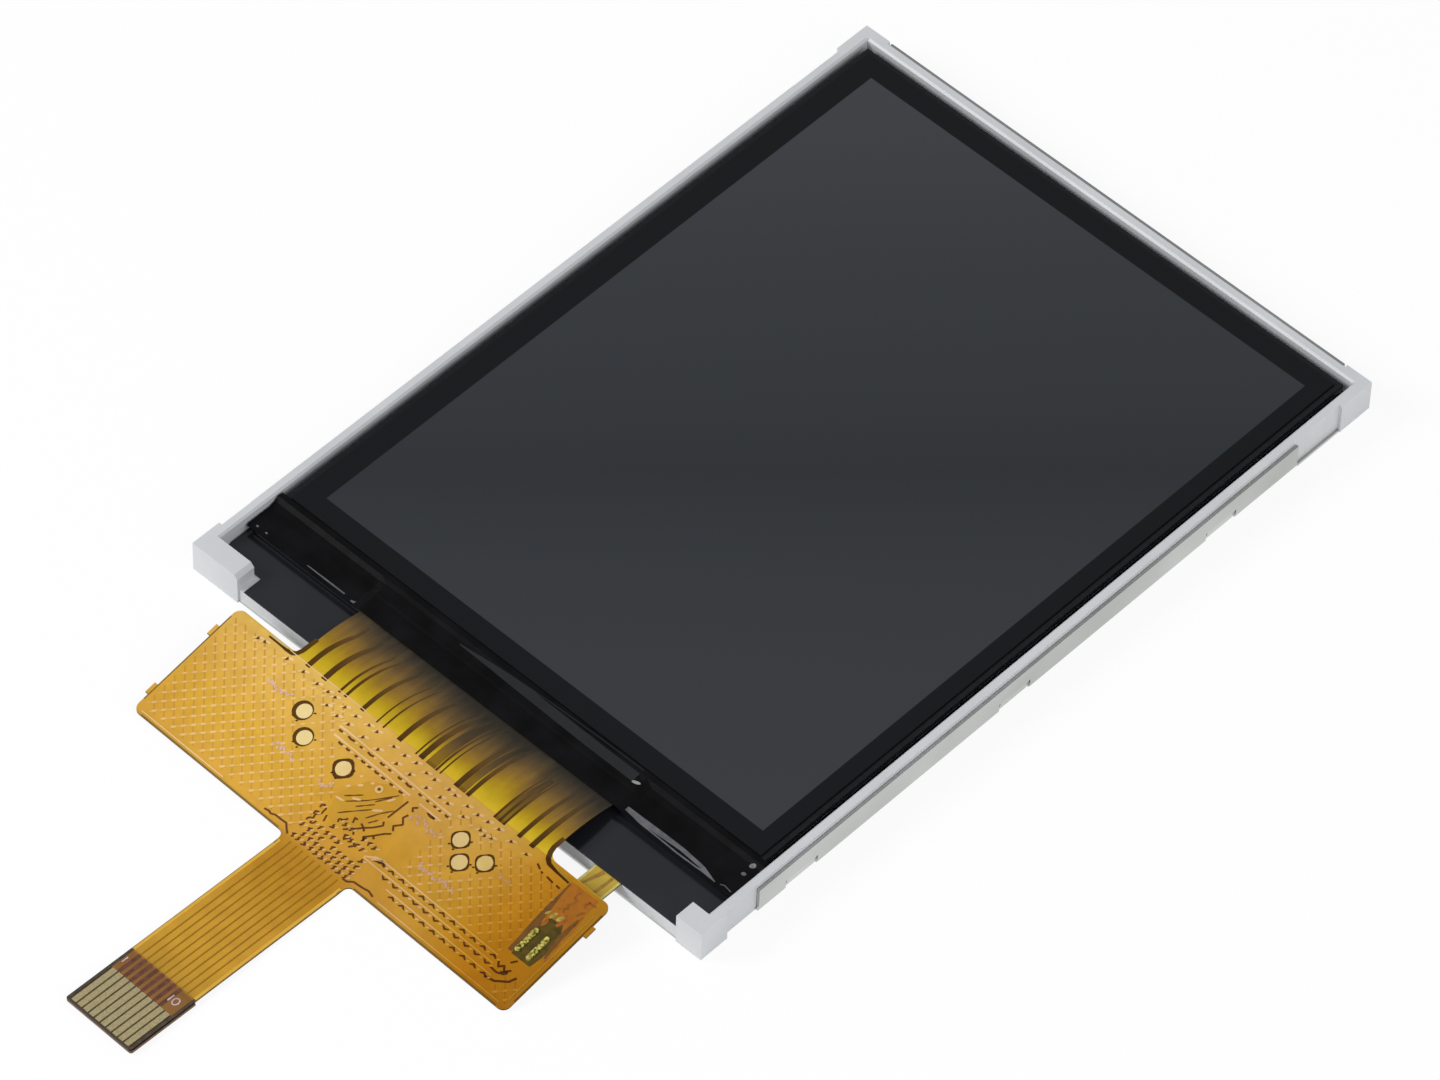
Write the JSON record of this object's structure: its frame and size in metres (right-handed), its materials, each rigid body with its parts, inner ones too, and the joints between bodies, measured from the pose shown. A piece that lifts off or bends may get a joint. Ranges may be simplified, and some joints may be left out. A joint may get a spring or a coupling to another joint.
{
  "type": "tft display module",
  "caption": "Small portrait colour TFT display module: glass panel in a white moulded frame with a steel back tray and an amber flex that narrows to a stiffened tail of bare contacts",
  "frame": {"origin": "Centre of the module's flat back face, on the plane that the flex's tail also lies down to; the flex and its tail are left out of the centring", "axes": "+Z out of the screen towards the viewer, +Y away from the flex along the long side, +X to the right as seen from the front with the flex at the bottom"},
  "size_m": [0.0428, 0.0886, 0.0024],
  "materials": {
    "tray_steel": "bright rolled stainless sheet",
    "frame_plastic": "white reflective moulding",
    "reflector_film": "white film",
    "guide_acrylic": "clear moulded light guide",
    "diffuser_film": "matt translucent film",
    "prism_film": "fine prismatic film",
    "black_tape": "black polyester tape, satin",
    "led_body": "white LED housing",
    "polarizer_rear": "dark polarizing film",
    "panel_glass": "thin polished glass",
    "seal_resin": "cured sealant",
    "polarizer_front": "anti-glare dark film",
    "chip_silicon": "bare silicon back",
    "bond_resin": "conductive adhesive film",
    "flex_polyimide": "amber polyimide over copper",
    "stiffener_polyimide": "brown polyimide board",
    "gold_plating": "thin gold plating",
    "solder": "bright solder under yellow flux"
  },
  "bodies": {
    "root": {"back_tray": "tray_steel", "frame": "frame_plastic", "reflector_sheet": "reflector_film", "light_guide": "guide_acrylic", "diffuser_sheet": "diffuser_film", "prism_sheet_lower": "prism_film", "prism_sheet_upper": "prism_film", "led_flex": "flex_polyimide", "led_1": "led_body", "led_2": "led_body", "led_3": "led_body", "led_4": "led_body", "rim_tape": "black_tape", "rear_polarizer": "polarizer_rear", "tft_glass": "panel_glass", "cell_seal": "seal_resin", "color_filter_glass": "panel_glass", "front_polarizer": "polarizer_front", "driver_chip": "chip_silicon", "bond_film": "bond_resin", "main_flex": "flex_polyimide", "tail_contacts": "gold_plating", "tail_stiffener": "stiffener_polyimide", "test_pads": "gold_plating", "tab_solder": "solder", "ledge_cover_tape": "black_tape"}
  },
  "joints": []
}
